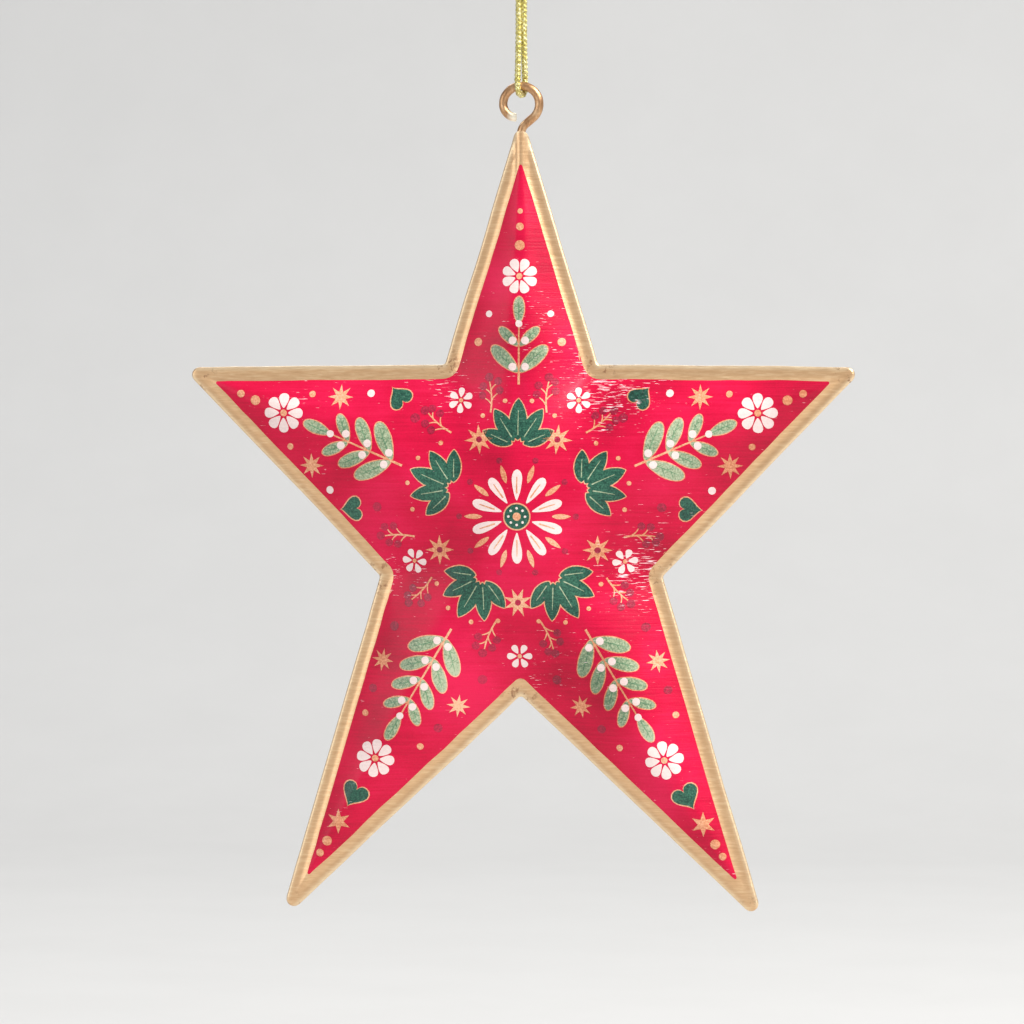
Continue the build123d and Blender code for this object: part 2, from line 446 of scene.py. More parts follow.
def steadyFrames(line):
    # each point with two sideways directions, carried along the line without twist
    side = None
    for point, along in zip(line, headingsOf(line)):
        if side is None:
            side = along.orthogonal().normalized()
        side = (side - along * side.dot(along)).normalized()
        yield point, side, along.cross(side)


def layYarn(bm, centres, outs, alongs, width, thickness, sides):
    # one flat yarn: an oval ring drawn out from point to point, its ends closed
    yarn = bmesh.new()
    ring = bmesh.ops.create_circle(yarn, cap_ends=True, segments=sides, radius=1)["verts"]
    edges = ringEdges(ring)
    for place, (centre, out, along) in enumerate(zip(centres, outs, alongs)):
        if place:
            ring, edges = nextRing(yarn, ring, edges)
        across = along.cross(out).normalized()
        for number, vert in enumerate(ring):
            angle = 2 * pi * number / sides
            vert.co = centre + across * cos(angle) * width / 2 + out * sin(angle) * thickness / 2
    bmesh.ops.contextual_create(yarn, geom=edges)
    mesh = bpy.data.meshes.new("yarn")
    yarn.to_mesh(mesh)
    yarn.free()
    bm.from_mesh(mesh)
    bpy.data.meshes.remove(mesh)


def braidAlong(bm, line, seed, wobble, flareLength=0.0):
    # yarns laid over and under each other round the line, half of them each way
    even, length = evenLine(line, cord["pointStep"] * mm)
    frames = list(steadyFrames(even))
    chance = random.Random(seed)
    yarns = cord["yarns"]
    middle = (cord["diameter"] / 2 - cord["yarnThickness"] / 2) * mm
    for number in range(yarns):
        way = 1 if number % 2 else -1
        start = 2 * pi * (number // 2) / (yarns / 2)
        phase = chance.uniform(-0.12, 0.12)
        centres, outs = [], []
        for place, (point, side, up) in enumerate(frames):
            run = length * place / (len(frames) - 1)
            turn = start + way * 2 * pi * run / (cord["braidPitch"] * mm) + phase
            over = cord["overUnder"] * mm * cos(yarns / 2 * (turn - start) + way * pi / 2)
            flare = 1.0
            if flareLength and length - run < flareLength:
                flare += cord["tailFlare"] * (1 - (length - run) / flareLength) ** 2
            loose = 1 + wobble * noiseAt(run * 900, number * 3.1, seed)
            out = side * cos(turn) + up * sin(turn)
            centres.append(point + out * (middle * loose * flare + over))
            outs.append(out)
        layYarn(bm, centres, outs, headingsOf(centres), cord["yarnWidth"] * mm,
                cord["yarnThickness"] * mm, cord["yarnSides"])
    return even, length


# materials

def streaksOf(tree, across=5.0, along=0.13):
    # fine level strokes left by brushing
    fine = noiseOf(tree, 1.0, 4.0, 0.6, (along, along, across))
    wide = noiseOf(tree, 1.0, 3.0, 0.55, (along * 0.6, along * 0.6, across * 0.4))
    return sumOf(tree, fine, 0.55, wide, 0.45)


def tinLook(tree):
    # gold lacquer on brushed tin, its outer edge lightened towards cream, partly rubbed wear and partly a painted
    # highlight, and worn brown at the tips
    streaks = streaksOf(tree, 4.5, 0.5)
    specks = noiseOf(tree, 0.8, 4.0, 0.7)
    hatch = noiseOf(tree, 1.0, 3.0, 0.6, (0.35, 0.35, 5.2), (0, radians(16), 0))
    base = rampOf(tree, streaks, (0.28, "CBA074"), (0.50, "DBB286"), (0.72, "EDCFA4"))
    base = mixOf(tree, scaled(tree, noiseOf(tree, 0.07, 4.0, 0.6), 0.3), base, "D9B184")
    # painted highlight with wear: the rounded outer edge is mixed towards cream
    edge = rangeOf(tree, marksOf(tree, "rimInset"), 0.10, 1.10, 1.0, 0.0, "SMOOTHSTEP")
    rubbedAndHighlit = scaled(tree, edge, scaled(tree, hatch, 1.6, -0.1, clamp=True))
    base = mixOf(tree, scaled(tree, rubbedAndHighlit, 0.5), base, "FFF4D2")
    rust = scaled(tree, rangeOf(tree, specks, 0.55, 0.62, 0.0, 0.85), marksOf(tree, "tipWear"), clamp=True)
    height = scaled(tree, scaled(tree, hatch, edge), 0.9, sumOf(tree, streaks, 0.6, specks, 0.25))
    return {
        "Base Color": mixOf(tree, rust, base, "7C3A1E"),
        "Metallic": 0.82,
        "Roughness": scaled(tree, streaks, 0.22, 0.27),
        "Normal": bumpOf(tree, height, 0.5, 0.14),
        "Coat Weight": 0.25, "Coat Roughness": 0.28,
    }


def inkLook(tree, dark, middle, light, metal=0.0, coat=0.15, mottle=0.5, shine=0.4):
    # printed lacquer over brushed tin, with painted highlight glints in fine level dashes
    streaks = streaksOf(tree)
    clouds = noiseOf(tree, 0.055, 3.0, 0.5)
    grain = noiseOf(tree, 3.2, 2.0, 0.6)
    tone = scaled(tree, sumOf(tree, streaks, 0.3, clouds, 0.7), 1.0, -mottle / 2)
    base = rampOf(tree, scaled(tree, grain, mottle, tone), (0.34, dark), (0.5, middle), (0.66, light))
    # painted highlight: white glint dashes mixed into the ink where glintShare is high
    level = scaled(tree, marksOf(tree, "glintShare"), 0.17, noiseOf(tree, 1.0, 3.0, 0.55, (0.5, 0.5, 5.6)))
    return {
        "Base Color": mixOf(tree, rangeOf(tree, level, 0.72, 0.77, 0.0, 0.85), base, "FFE3E6"),
        "Metallic": metal,
        "Roughness": scaled(tree, streaks, 0.40, 0.16),
        "Normal": bumpOf(tree, sumOf(tree, streaks, 0.9, grain, 0.25), 0.6, 0.12),
        "Specular IOR Level": shine,
        "Coat Weight": coat, "Coat Roughness": 0.18,
    }


def wireLook(tree):
    # drawn copper-gold wire with fine lines, darker rubs and a painted highlight towards its cut end
    fine = noiseOf(tree, 1.0, 4.0, 0.6, (3.0, 3.0, 0.8))
    rubs = noiseOf(tree, 0.5, 3.0, 0.6)
    base = rampOf(tree, sumOf(tree, fine, 0.5, rubs, 0.5), (0.32, "8E6848"), (0.5, "BC9068"), (0.68, "DDBA92"))
    return {
        "Base Color": mixOf(tree, marksOf(tree, "endHighlight"), base, "FFF6E0"),
        "Metallic": 0.9,
        "Roughness": scaled(tree, rubs, 0.25, 0.24),
        "Normal": bumpOf(tree, fine, 0.25, 0.08),
    }


def cutHighlightLook(tree):
    # the snipped end face of the wire: bare cut metal, its cream brightness a painted highlight
    marks = noiseOf(tree, 1.4, 3.0, 0.6, (1, 1, 5))
    return {
        "Base Color": rampOf(tree, marks, (0.35, "E9CFA8"), (0.65, "FFF6DF")),
        "Metallic": 0.7,
        "Roughness": scaled(tree, marks, 0.3, 0.25),
    }


def solderLook(tree):
    lumps = noiseOf(tree, 0.9, 4.0, 0.6)
    return {
        "Base Color": rampOf(tree, lumps, (0.35, "6F6F70"), (0.65, "B9B9B6")),
        "Metallic": 0.95,
        "Roughness": scaled(tree, lumps, 0.3, 0.25),
        "Normal": bumpOf(tree, lumps, 0.4, 0.2),
    }


def cordLook(tree):
    # metallic gold yarn: flecks of foil in random tones over darker patches, the brightest painted white as
    # highlight glints
    flecks = noiseOf(tree, 1.0, 3.0, 0.7, (6, 6, 6))
    value = sumOf(tree, flecks, 0.7, noiseOf(tree, 0.9, 3.0, 0.6), 0.3)
    return {
        # painted highlight: the top of the ramp is a near-white glint
        "Base Color": rampOf(tree, value, (0.32, "6E611C"), (0.44, "BBAA4A"), (0.54, "E4DA94"), (0.64, "FFFDEB")),
        "Metallic": 0.85,
        "Roughness": scaled(tree, flecks, 0.35, 0.12),
        "Normal": bumpOf(tree, flecks, 0.5, 0.08),
        "Sheen Weight": 0.15,
    }


materials = {
    "tin": makeMaterial("goldTin", tinLook),
    "red": makeMaterial("redInk", inkLook, "A6002B", "CC0039", "E0144C", coat=0.12, mottle=0.12, shine=0.2),
    "white": makeMaterial("whiteInk", inkLook, "DAC0BC", "E9D2CE", "F4E2DC", mottle=0.3),
    "sage": makeMaterial("sageInk", inkLook, "64795C", "93A281", "B8C2A2", mottle=0.75),
    "green": makeMaterial("deepGreenInk", inkLook, "062C21", "174C3C", "376E57", mottle=0.7),
    "vein": makeMaterial("veinInk", inkLook, "46684C", "668A68", "86A883", mottle=0.6),
    "peach": makeMaterial("peachInk", inkLook, "C2744F", "DE9971", "F2BC98", metal=0.1, coat=0.2, mottle=0.6),
    "berry": makeMaterial("berryInk", inkLook, "7E0226", "A00834", "C01444", mottle=0.7),
    "wire": makeMaterial("eyeWire", wireLook),
    "cutWireHighlight": makeMaterial("cutWireHighlight", cutHighlightLook),
    "solder": makeMaterial("solder", solderLook),
    "cord": makeMaterial("goldCord", cordLook),
}
print("materials made")


# cord and knot pieces

knot = {
    "foot": 1.65, "turns": 2.25, "turnSteps": 8, "turnRadius": 1.15, "rise": 2.5, "lean": 0.5,
    "tailEnds": ((1.5, 0.3, 9.1), (-1.25, -0.15, 8.1)), "flareLength": 1.3,
    "fibres": 13, "fibreWidth": 0.07, "fibreThickness": 0.05,
}


def makeCord():
    bm = bmesh.new()
    leftStrand = [(-x, -y, z) for x, y, z in strandRoute]
    line = smoothRoute(leftStrand + bightCorners() + strandRoute[::-1])
    even, length = braidAlong(bm, line, 5, 0.03)
    return keepMesh("braidedCord", bm, materials["cord"]), even, length


def makeKnot():
    # two strands come up inside, wrap round each other and leave as two cut tails
    bm = bmesh.new()
    radius, turnCount, steps = knot["turnRadius"], knot["turns"], knot["turnSteps"]
    wraps = []
    for number in range(int(turnCount * steps) + 1):
        angle = 2 * pi * number / steps - 0.6
        height = knot["foot"] + knot["rise"] * number / (turnCount * steps)
        wraps.append((radius * cos(angle), radius * sin(angle) * 0.9, height + knot["lean"] * sin(angle + 0.5)))
    x, y, z = wraps[-1]
    firstEnd, secondEnd = knot["tailEnds"]
    first = [(0.5, 0.1, 0.2), (0.45, 0.2, 1.5), (0.35, 0.25, 3.2), (0.75, 0.3, 5.0), (1.1, 0.35, 6.6), firstEnd]
    second = [(-0.5, -0.1, 0.3), (-0.45, -0.25, 1.0)] + wraps
    second += [(x * 0.5 - 0.3, y * 0.4, z + 1.2), (-0.95, -0.1, 6.2), secondEnd]
    for route, seed in ((first, 11), (second, 12)):
        braidAlong(bm, smoothRoute(route), seed, 0.05, knot["flareLength"] * mm)
    chance = random.Random(8)
    for end in (firstEnd, secondEnd):
        for number in range(knot["fibres"]):
            root = (Vector(end) + Vector((chance.uniform(-0.5, 0.5), chance.uniform(-0.5, 0.5), -0.9))) * mm
            lean = Vector((chance.uniform(-0.7, 0.7), chance.uniform(-0.7, 0.7), 1.25)) * mm
            centres = [root + lean * share + Vector((0, 0, -0.25 * share * share * chance.random())) * mm
                       for share in (0, 0.4, 0.75, 1)]
            layYarn(bm, centres, [Vector((1, 0, 0))] * 4, [lean.normalized()] * 4,
                    knot["fibreWidth"] * mm, knot["fibreThickness"] * mm, 4)
    return keepMesh("overhandKnot", bm, materials["cord"])


cordPiece, cordPoints, cordLength = makeCord()
knotPiece = makeKnot()
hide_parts("hanging_cord", "cord_top_loop")
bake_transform(cordPiece)
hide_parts("cord_knot")
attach(knotPiece, "upper_cord")
tuple(cordPoints[0])
[tuple(point) for point in cordPoints]
print("cord laid, length in mm", round(cordLength * 1000, 1))


# pressed tin shells

shell = {
    "sheet": 0.3, "slotHalf": 0.17, "hemReturn": 1.5, "footEase": 0.7, "betweenSheets": 0.16,
    "wireSleeve": 1.13, "wireBore": 0.86, "sleeveFoot": 22, "mouthBore": 0.94, "mouthRise": 41.9,
    "notchHalf": 1.28, "notchFoot": 36.6,
    "edgeWander": 0.16, "dentDepth": 0.16, "ridgeEase": 0.25, "ridgeReach": 16,
}

# shares of the way to the crown, down the outside and up the inside
outerShares = (0.975, 0.93, 0.88, 0.83, 0.78, 0.73, 0.685, 0.64, 0.59, 0.54, 0.49, 0.44, 0.39, 0.345,
               0.30, 0.26, 0.22, 0.18, 0.145, 0.11, 0.08, 0.055)
innerShares = (0.0, 0.03, 0.08, 0.14, 0.22, 0.30, 0.39, 0.49, 0.59, 0.64, 0.73, 0.83, 0.93, 0.975)

# dents beside the corners and along the arms: place, size and depth
dents = [
    (13.0, -3.5, 4.2, 0.28), (-12.0, -4.0, 3.6, 0.16), (22.0, -36.0, 4.5, 0.22), (-22.5, -36.0, 4.0, 0.16),
    (2.5, -54.0, 4.0, 0.20), (6.0, -2.0, 6.0, -0.10), (-30.0, -12.0, 7.0, 0.12), (34.0, -78.0, 6.0, 0.12),
]


def rimLoop(inset):
    # outlines between the rounded edge and the foot of the dome
    hem, foot = star["hemHalf"], star["domeFoot"]
    share = clamped((inset - hem) / (foot - hem))
    edgeRounds = star["pointRound"] - hem, star["innerRound"] + hem
    rounds = [edge + (dome - edge) * share for edge, dome in zip(edgeRounds, domeRounds(0))]
    return roundedLoop(insetCorners(inset), *rounds)


def foldRise(along):
    # the eased fold where the flat rim turns up into the dome
    ease = shell["footEase"]
    return slopeAt(0) * (along + ease) ** 2 / (4 * ease)


def outerStations(base, way):
    # from the crown out to the flat rim; way is -1 for the front, 1 for the back
    stations = [(loop, way * (base + rise)) for loop, rise in map(domeLoop, outerShares)]
    for step in (1.0, 0.6, 0.2, -0.2, -0.6, -1.0):
        along = step * shell["footEase"]
        loop = roundedLoop(insetCorners(star["domeFoot"] + along), *domeRounds(0))
        stations.append((loop, way * (base + foldRise(along))))
    return stations


def innerStations(base, way):
    # back up the inside to the crown, one sheet below the outside
    loops = [domeLoop(share, shell["sheet"]) for share in innerShares]
    return [(loop, way * (base + rise)) for loop, rise in loops]


def platesAt(depth, *insets):
    return [(plateLoop(inset), depth) for inset in insets]


def frontStations():
    # over the rounded edge, round the hem and into the slot for the back sheet
    hem, slot = star["hemHalf"], shell["slotHalf"]
    deep, turn = shell["sheet"] + 0.02, shell["hemReturn"]
    outside = outerStations(hem, -1) + [(rimLoop(inset), -hem) for inset in (1.2, 0.8)]
    for angle in (pi * step / 6 - pi / 2 for step in range(7)):
        outside += platesAt(hem * sin(angle), hem - hem * cos(angle))
    outside += platesAt(hem, 0.8, 1.15, turn - 0.08) + platesAt(hem - 0.07, turn)
    outside += platesAt(slot + 0.05, turn) + platesAt(slot, turn - 0.05)
    inside = platesAt(slot, 1.1, 0.7, 0.36) + platesAt(slot - 0.06, deep) + platesAt(0.06 - slot, deep)
    return outside, inside + platesAt(-slot, 0.36, 0.7, 1.1, 1.5) + innerStations(hem, -1)


def backStations():
    half, edge = shell["sheet"] / 2, shell["sheet"] + 0.04
    outside = outerStations(half, 1) + platesAt(half, 1.3, 1.0, 0.7, edge + 0.04) + platesAt(half - 0.04, edge)
    inside = platesAt(0.04 - half, edge) + platesAt(-half, edge + 0.04, 0.7, 1.0, 1.3, 1.7)
    return outside, inside + innerStations(half, 1)


def handMade(x, z):
    # a pressed sheet wanders a little; the top point, where the wire sits, stays true
    wander = shell["edgeWander"] * clamped((hypot(x, z - 42) - 4) / 12)
    shiftX, shiftZ = (noiseAt(x / 17, z / 17, layer) for layer in (2.0, 11.0))
    fine = noiseAt(x / 5, z / 5, 22.0)
    return (x * 0.9975 + wander * (shiftX + 0.35 * fine),
            (z + crownDrop) * 0.9985 - crownDrop + wander * (shiftZ - 0.35 * fine))


def edgeDistances(x, z):
    away = []
    for (x0, z0), (x1, z1) in cornerPairs():
        dx, dz = x1 - x0, z1 - z0
        share = clamped(((x - x0) * dx + (z - z0) * dz) / (dx * dx + dz * dz))
        away.append(hypot(x - x0 - share * dx, z - z0 - share * dz))
    return away


def softDistance(away):
    # distance in from the edges, eased where two or more are as near, more so further in
    nearest = min(away)
    ease = 0.02 + shell["ridgeEase"] * min(max(nearest - 1.2, 0), shell["ridgeReach"])
    return nearest - ease * log(sum(exp((nearest - each) / ease) for each in away))


def domeRise(along):
    # rise and slope of the dome at a distance in from its foot
    ease = shell["footEase"]
    if along < -ease:
        return 0.0, 0.0
    if along < ease:
        return foldRise(along), slopeAt(0) * (along + ease) / (2 * ease)
    return riseAt(along / crownInset), slopeAt(along / crownInset)


def dentAt(x, z):
    # soft waves of the pressing, and the dents
    broad, middle = noiseAt(x / 21 + 3.3, z / 21, 1.7), noiseAt(x / 8, z / 8 + 5.1, 4.2)
    depth = shell["dentDepth"] * (broad + 0.35 * middle)
    for cornerX, cornerZ, size, amount in dents:
        away = hypot(x - cornerX, z - cornerZ) / size
        depth -= amount * exp(-away * away)
    return depth


def softMax(first, second, blend):
    gap = max(blend - abs(first - second), 0) / blend
    return max(first, second) + gap * gap * blend / 4


def shapedPoint(x, y, z, way, base, outer, lift=0.0):
    # a point of a shell: wandering edge, dents on the dome, a bulge round the wire, ink height
    away = edgeDistances(x, z)
    inset = min(away) - star["domeFoot"]
    depth = y
    facing = y * way > -shell["betweenSheets"]
    if inset > -0.45 and facing:
        rise, slope = domeRise(softDistance(away) - star["domeFoot"])
        wall = 0 if outer else shell["sheet"] * hypot(1, slope)
        depth = way * (base + rise + dentAt(x, z) * clamped(inset / 5) - wall)
    radius = shell["wireSleeve" if outer else "wireBore"]
    if z > shell["sleeveFoot"] and abs(x) < 1.4 * radius and facing:
        depth = way * softMax(depth * way, radius - x * x / (2 * radius), 0.3 if outer else 0.12)
    shiftedX, shiftedZ = handMade(x, z)
    return Vector((shiftedX * mm, (depth + way * lift) * mm, (shiftedZ + star["shoulderHeight"]) * mm))


def closedSkin(stations, shape):
    # a ring of edges drawn out from station to station and closed at both ends
    bm = bmesh.new()
    loop, depth = stations[0]
    ring = [bm.verts.new(shape(point.x, depth, point.y, number=0)) for point in loop]
    first = edges = [bm.edges.new((ring[place - 1], ring[place])) for place in range(len(ring))]
    for number, (loop, depth) in enumerate(stations[1:], 1):
        ring, edges = nextRing(bm, ring, edges)
        for vert, point in zip(ring, loop):
            vert.co = shape(point.x, depth, point.y, number=number)
    for rim in (first, edges):
        bmesh.ops.poke(bm, faces=bmesh.ops.contextual_create(bm, geom=rim)["faces"])
    bmesh.ops.recalc_face_normals(bm, faces=bm.faces)
    return bm


def makeShell(name, sides, way, base):
    outside, inside = sides
    skin = closedSkin(outside + inside,
                      lambda *spot, number: shapedPoint(*spot, way, base, number < len(outside)))
    return keepMesh(name, skin, materials["tin"])


def boxCutter(low, high):
    bm = bmesh.new()
    bmesh.ops.create_cube(bm, size=1)
    placed(bm, [(b - a) * mm for a, b in zip(low, high)], [(a + b) / 2 * mm for a, b in zip(low, high)])
    return keepMesh("cutter", bm)


def barCutter(radius, low, high):
    bm = bmesh.new()
    bmesh.ops.create_cone(bm, cap_ends=True, segments=40, radius1=radius, radius2=radius, depth=high - low)
    placed(bm, (mm, mm, mm), (0, 0, (low + high) / 2 * mm))
    return keepMesh("cutter", bm)


def markPlan(piece, name, valueAt):
    markPoints(piece, name, lambda place: valueAt(place.x, place.z - star["shoulderHeight"]))


def wearAt(x, z):
    # how near a point is to a side or foot tip, or a little less to an inner corner
    nearest = min(hypot(x - a, z - b) - 3 * (number % 2 == 0)
                  for number, (a, b) in enumerate(starCorners()) if number)
    return clamped(1.1 - nearest / 4)


def makeShells():
    # the sheets open at the mouth for the wire; the front's lip is notched behind it
    frontPiece = makeShell("frontShell", frontStations(), -1, star["hemHalf"])
    backPiece = makeShell("backShell", backStations(), 1, shell["sheet"] / 2)
    mouth = star["shoulderHeight"] + shell["mouthRise"]
    above = (-4, -0.11, mouth), (4, 6, mouth + 8)
    bore = barCutter(shell["mouthBore"], mouth - 0.37, mouth + 6)
    half, foot = shell["notchHalf"], star["shoulderHeight"] + shell["notchFoot"]
    notch = boxCutter((-half, 0.16, foot), (half, 6, mouth + 6))
    for cutter in (boxCutter(*above), bore, notch):
        cutWith(frontPiece, cutter, "DIFFERENCE")
    cutWith(backPiece, boxCutter(*above), "DIFFERENCE")
    for piece in (frontPiece, backPiece):
        closeGaps(piece)
        smoothBelow(38, piece)
        markPlan(piece, "rimInset", lambda x, z: min(edgeDistances(x, z)))
        markPlan(piece, "tipWear", wearAt)
    return frontPiece, backPiece


frontShell, backShell = makeShells()
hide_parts("front_shell")
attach(frontShell, "ornament")
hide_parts("back_shell")
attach(backShell, "ornament")
print("shells pressed")


# printed design, round the crown and along the five arms

design = {
    "panelInset": 2.6, "panelRounds": (0.3, 3.2, 1.3), "panelWander": 0.10, "inkDepth": 0.03, "groundLift": 0.025,
    "edgeWander": 0.05, "outline": 0.22, "drawnAt": -12, "hub": 0.24, "petalWidth": 0.34,
}
layers = {1: ("Edging", 0.042), 2: ("Shapes", 0.060), 3: ("Details", 0.078), 4: ("Beads", 0.096)}

# what stands where on an arm: millimetres out from the crown, then to each side
armSpots = {
    0: {"spray": (25.4, 9.5, 2, 6.6), "flower": (43.4, 3.3), "beads": (49.0, 52.4, 55.2),
        "hearts": (), "stars": (), "dots": ((31.5, 7.6, 0.75, "peach"), (36.6, 5.6, 0.6, "white"))},
    1: {"spray": (24.6, 13.0, 3, 7.2), "flower": (47.0, 3.6), "beads": (52.8, 55.8),
        "hearts": ((28.6, 11.0, 2.3),), "stars": ((38.6, 6.8, 2.3, 8),),
        "dots": ((33.8, 9.6, 0.7, "white"), (43.6, 5.2, 0.6, "peach"), (24.4, 8.8, 0.85, "berry"))},
    2: {"spray": (25.4, 17.0, 4, 6.8), "flower": (51.4, 3.5), "beads": (69.2, 71.8),
        "hearts": ((59.0, 0, 2.6),), "stars": ((35.4, 8.1, 2.1, 8), (65.0, 0, 2.3, 6)),
        "dots": ((29.0, 9.4, 0.85, "berry"), (40.8, 7.0, 0.8, "berry"), (45.4, 5.9, 0.6, "peach"))},
}

# where the painted highlight glints gather: place, size and strength
glintSpots = [
    (16.0, -3.0, 9.0, 1.0), (-13.0, -4.0, 6.0, 0.6), (22.5, -37.0, 8.0, 0.9), (-22.0, -38.0, 6.0, 0.55),
    (4.0, -55.0, 7.0, 0.5), (38.0, -90.0, 8.0, 0.4), (2.0, 8.0, 7.0, 0.5), (-40.0, -6.0, 8.0, 0.35),
]


# one flat sheet of shapes for each colour and layer
sheets = defaultdict(bmesh.new)


def crownSpot(x, z):
    # a motif's place and axes at the crown, the first axis towards a point of the plan
    heading = atan2(z + crownDrop, x)
    along, across = (Vector((cos(angle), sin(angle))) for angle in (heading, heading + pi / 2))
    return Vector((0, -crownDrop)), along, across


def moved(spot, u, v, turn=0.0):
    # a place set inside another one
    origin, along, across = spot
    angle = radians(turn)
    return (origin + along * u + across * v, along * cos(angle) + across * sin(angle),
            across * cos(angle) - along * sin(angle))


def rayed(spot, turn, reach):
    return moved(moved(spot, 0, 0, turn), reach, 0)


def disc(colour, layer, spot, points, grow=0.0):
    # a flat shape, a little uneven like a print, and grown for an outline
    origin, along, across = spot
    middle = sum((Vector(point) for point in points), Vector((0, 0))) / len(points)
    made = bmesh.ops.create_circle(sheets[colour, layer], cap_ends=True, segments=len(points), radius=1)
    for vert, point in zip(made["verts"], points):
        place = origin + along * point[0] + across * point[1]
        if grow:
            away = Vector(point) - middle
            place += (along * away.x + across * away.y).normalized() * grow
        shift = [design["edgeWander"] * noiseAt(place.x * 0.9, place.y * 0.9, seed) for seed in (6.0, 16.0)]
        vert.co = Vector((place.x + shift[0], design["drawnAt"], place.y + shift[1]))


def leafPoints(length, width, kind, count=22):
    # petals are round at the end, leaves pointed at both, lobes full and blunt
    points = []
    for number in range(count):
        t = 2 * pi * number / count
        share = (1 - cos(t)) / 2
        if kind == "petal":
            half = sin(t) * (0.30 + 0.75 * share)
        elif kind == "leaf":
            half = copysign(abs(sin(t)) ** 1.55, sin(t)) * (1.12 - 0.25 * share)
        else:
            half = sin(t) * (0.55 + 0.45 * share) ** 0.8
        points.append((length * share, width / 2 * half))
    return points


def rayPoints(rays, outer, inner):
    turns = [(pi * number / rays, inner if number % 2 else outer) for number in range(rays * 2)]
    return [(radius * cos(angle), radius * sin(angle)) for angle, radius in turns]


def heartPoints(size, count=26):
    points = []
    # the points beside the cleft are left out, so that it stays open
    for number in [0] + list(range(2, count - 1)):
        t = 2 * pi * number / count
        v = 16 * sin(t) ** 3
        u = 13 * cos(t) - 5 * cos(2 * t) - 2 * cos(3 * t) - cos(4 * t)
        points.append((-u * size / 17, v * size / 17))
    return points


def dot(colour, layer, spot, radius, count=14):
    disc(colour, layer, spot, rayPoints(count // 2, radius, radius))


def edged(colour, spot, points):
    disc(colour, 2, spot, points)
    disc("peach", 1, spot, points, design["outline"])


def stroke(colour, layer, spot, bend, width, endWidth, steps=10):
    # a thin line along a bend of three points
    a, b, c = (Vector(point) for point in bend)
    origin, along, across = spot
    made = bmesh.ops.create_grid(sheets[colour, layer], x_segments=steps, y_segments=1, size=1)
    for vert in made["verts"]:
        t = (vert.co.x + 1) / 2
        heading = ((b - a) * (1 - t) + (c - b) * t).normalized()
        half = (width + (endWidth - width) * t) / 2 * vert.co.y
        point = a * (1 - t) ** 2 + b * 2 * t * (1 - t) + c * t ** 2 + Vector((-heading.y, heading.x)) * half
        place = origin + along * point.x + across * point.y
        vert.co = Vector((place.x, design["drawnAt"], place.y))


def layFlower(spot, petals, radius):
    hub = design["hub"]
    for number in range(petals):
        disc("white", 2, rayed(spot, 360 * number / petals, radius * hub),
             leafPoints(radius * (1 - hub), radius * design["petalWidth"] * 2, "petal", 18))
    dot("peach", 3, spot, radius * hub * 0.72, 12)


def layRosette(spot):
    # two rings of petals, a dotted hub and a ring of berries
    for number in range(10):
        petal = rayed(spot, 36 * number, 2.9)
        disc("white", 2, petal, leafPoints(5.6, 2.5, "petal"))
        stroke("peach", 3, petal, ((1.3, 0), (2.7, 0.05), (4.3, 0)), 0.30, 0.16, 6)
        disc("peach", 2, rayed(spot, 36 * number + 18, 6.3), leafPoints(3.4, 0.95, "leaf", 16))
        dot("berry", 2, rayed(spot, 36 * number + 18, 10.6), 0.55, 12)
    dot("green", 2, spot, 2.25, 30)
    dot("peach", 1, spot, 2.5, 30)
    dot("peach", 3, spot, 0.75, 16)
    for number in range(8):
        dot("white", 3, rayed(spot, 45 * number, 1.5), 0.24, 8)


def layPalmette(spot, size):
    # five deep green leaves fanned from a root, with a gold bead between each pair
    leaves = (0, 1, 0.36), (33, 0.92, 0.33), (-33, 0.92, 0.33), (66, 0.78, 0.31), (-66, 0.78, 0.31)
    for turn, length, width in leaves:
        leaf = rayed(spot, turn, size * 0.14)
        edged("green", leaf, leafPoints(size * length * 0.86, size * width, "leaf"))
        stroke("sage", 3, leaf, ((size * 0.1, 0), (size * 0.3, 0.05), (size * length * 0.62, 0)), 0.22, 0.10, 6)
    for turn in (16.5, -16.5, 49.5, -49.5):
        dot("peach", 2, rayed(spot, turn, size), 0.42, 12)


def layLobe(spot, length, width):
    # a blunt sage leaf, edged and veined
    edged("sage", spot, leafPoints(length, width, "lobe"))
    stroke("vein", 3, spot, ((0.08 * length, 0), (0.5 * length, 0.02 * length), (0.86 * length, 0)), 0.26, 0.12)
    reach = width * 0.30
    for share, side in ((0.3, 1), (0.42, -1), (0.54, 1), (0.66, -1)):
        u = share * length
        bend = (u, 0), (u + reach * 0.5, side * reach * 0.45), (u + reach * 0.9, side * reach)
        stroke("vein", 3, spot, bend, 0.16, 0.08, 4)


def laySpray(spot, length, pairs, leafLength):
    # a fine stem, leaves in pairs and white berries where they join
    stroke("peach", 1, spot, ((-1.6, 0), (length * 0.5, 0), (length, 0)), 0.42, 0.26, 12)
    for number in range(pairs):
        along = length * (number + 0.15) / pairs
        size = leafLength * (1 - 0.30 * number / max(pairs - 1, 1))
        for side in (1, -1):
            layLobe(moved(spot, along, side * 0.2, side * 46), size, size * 0.44)
            dot("white", 4, moved(spot, along + 0.9, side * 1.15), 0.72)
    layLobe(moved(spot, length, 0), leafLength * 0.72, leafLength * 0.34)
    dot("white", 4, moved(spot, length - 0.1, 0), 0.66)


